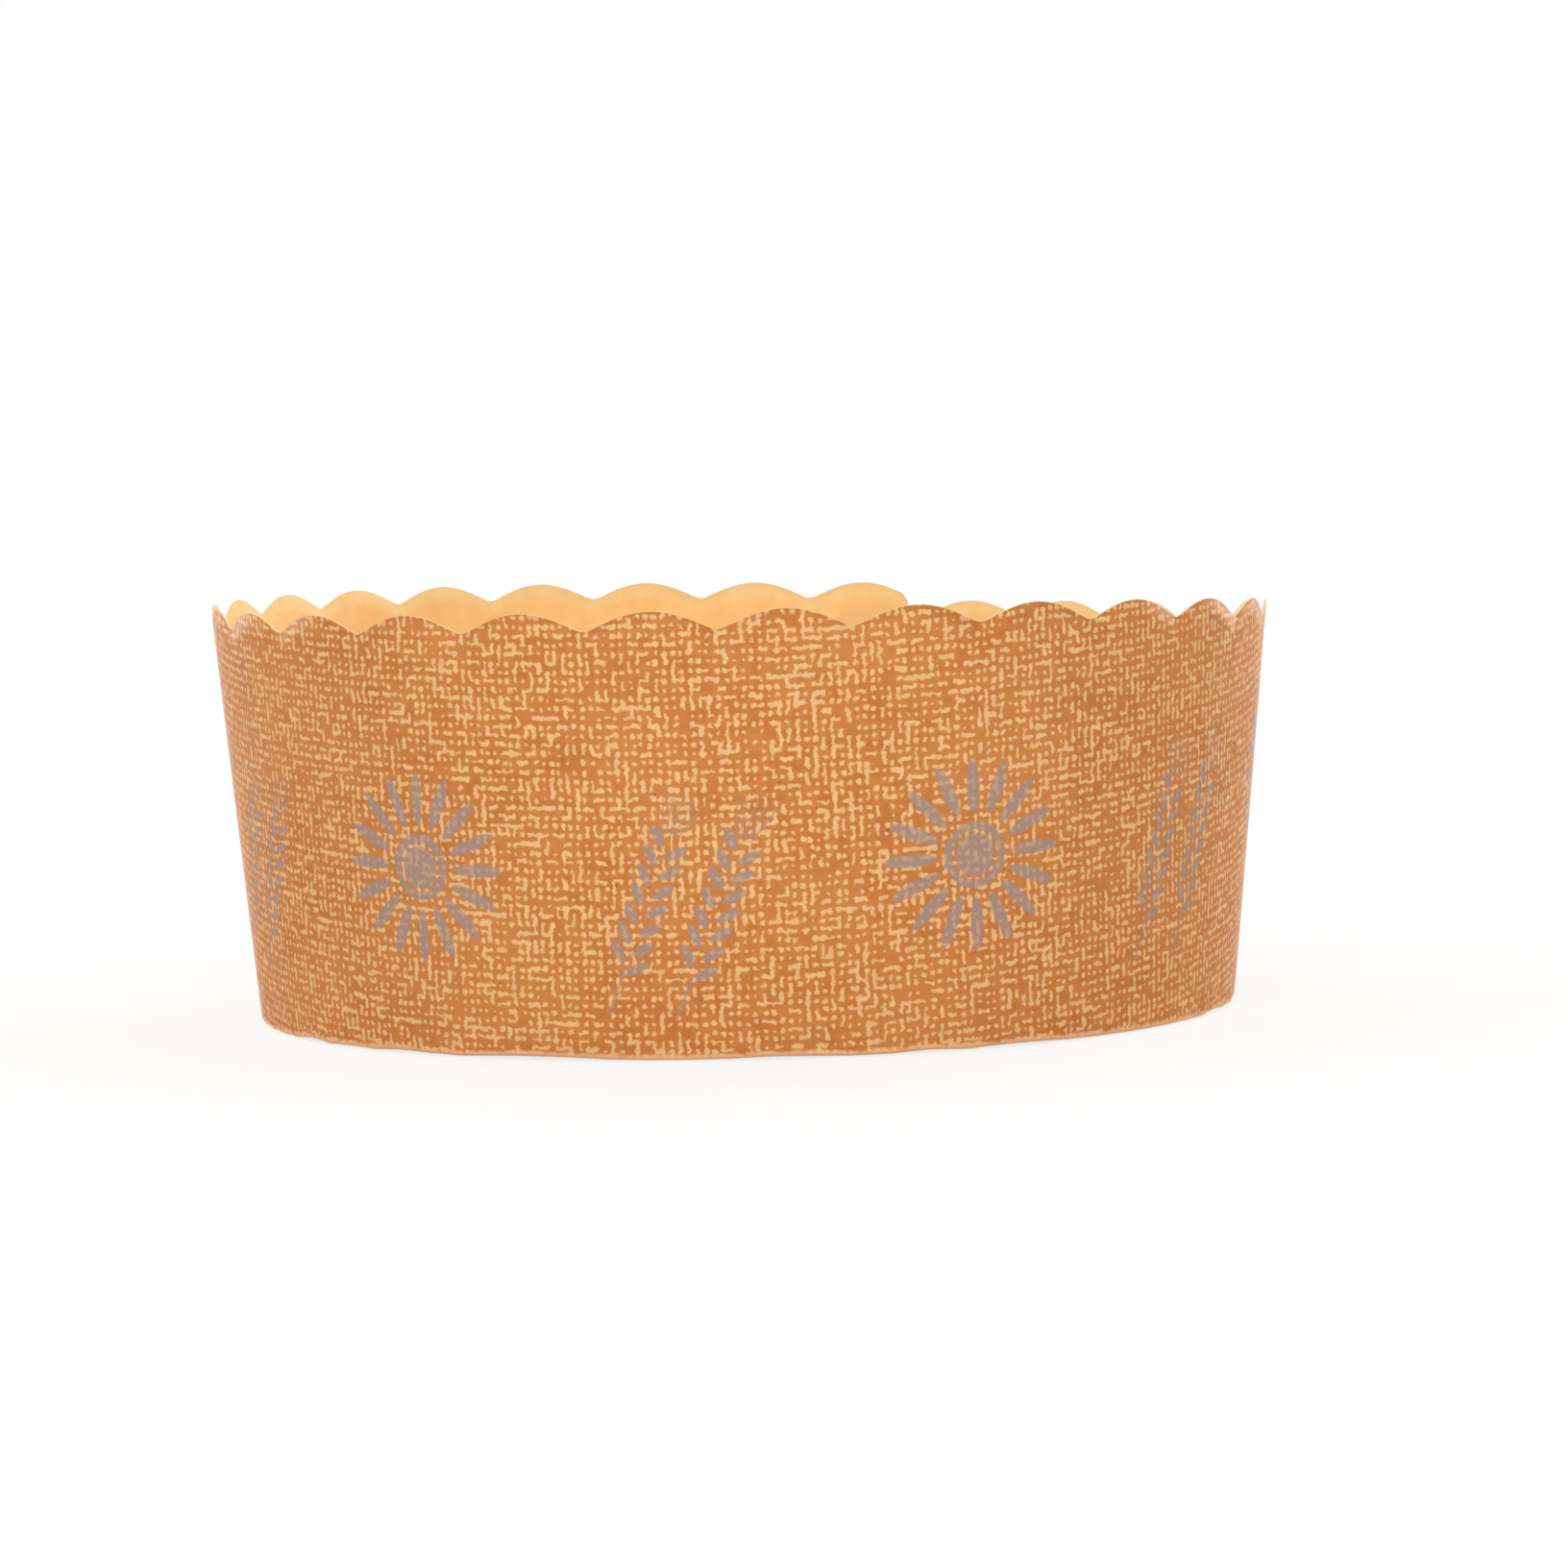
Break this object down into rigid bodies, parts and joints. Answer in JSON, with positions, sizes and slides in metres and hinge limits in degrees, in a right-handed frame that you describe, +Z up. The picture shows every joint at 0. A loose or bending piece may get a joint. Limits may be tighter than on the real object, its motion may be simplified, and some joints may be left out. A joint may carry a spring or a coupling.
{
  "type": "round paper baking cup",
  "caption": "Round kraft paper baking cup with a scalloped rim, a lapped printed wall and a pleated hem folded in under a plain paper bottom.",
  "frame": {"origin": "on the cup's axis, in the plane that it stands on, at the bottom centre of its box", "axes": "+Z up along the cup's axis, out of its mouth; the lap is at the back, towards +Y"},
  "size_m": [0.1428, 0.143, 0.0572],
  "materials": {
    "printed_paper": "matte kraft paper, printed outside with a fine terracotta weave pattern, plain tan inside",
    "plain_paper": "matte plain tan kraft paper"
  },
  "bodies": {
    "root": {"wall": "printed_paper", "base_disc": "plain_paper"}
  },
  "joints": []
}
